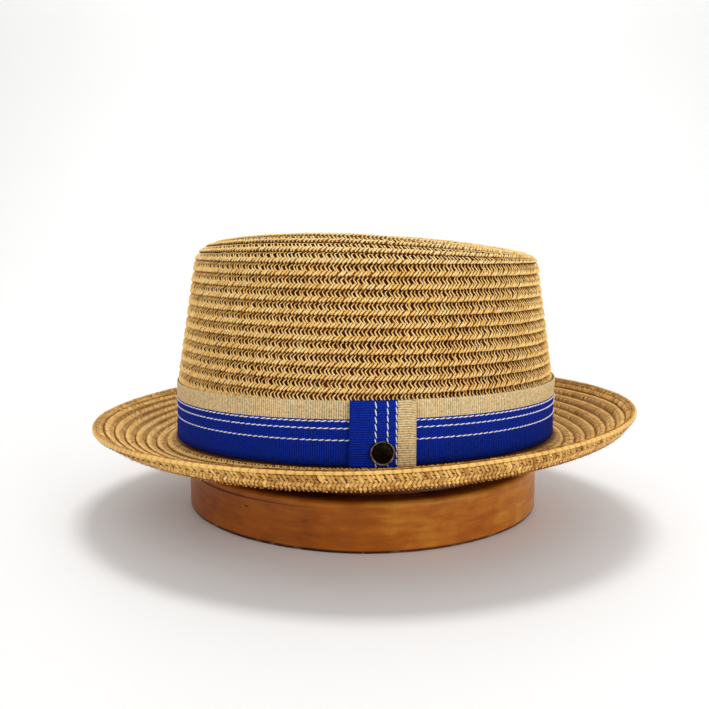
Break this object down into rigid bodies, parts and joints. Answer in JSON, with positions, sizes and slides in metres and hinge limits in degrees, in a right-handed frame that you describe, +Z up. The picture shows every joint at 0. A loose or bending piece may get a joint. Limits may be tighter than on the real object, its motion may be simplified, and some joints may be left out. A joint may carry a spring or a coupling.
{
  "type": "porkpie hat on wooden stand",
  "caption": "Straw-braid porkpie hat with a dished crown, upturned brim and blue and tan striped ribbon band, resting on an oval varnished wooden stand.",
  "frame": {"origin": "middle of the stand's flat base, on the surface that it stands on", "axes": "+X toward the back of the hat, -Y toward the wearer's left, +Z up"},
  "size_m": [0.2999, 0.2556, 0.1508],
  "materials": {
    "straw": "matte plaited straw braid, golden tan",
    "edge_straw": "matte plaited straw braid, paler and doubled",
    "ribbon": "grosgrain ribbon in royal blue and tan with white running stitches",
    "bronze": "aged dark bronze",
    "wood": "varnished, worn"
  },
  "bodies": {
    "root": {"stand": "wood", "brim": "straw", "brim_edge": "edge_straw", "crown_side": "straw", "crown_tip": "straw", "hatband": "ribbon", "band_keeper": "ribbon", "badge": "bronze"}
  },
  "joints": []
}
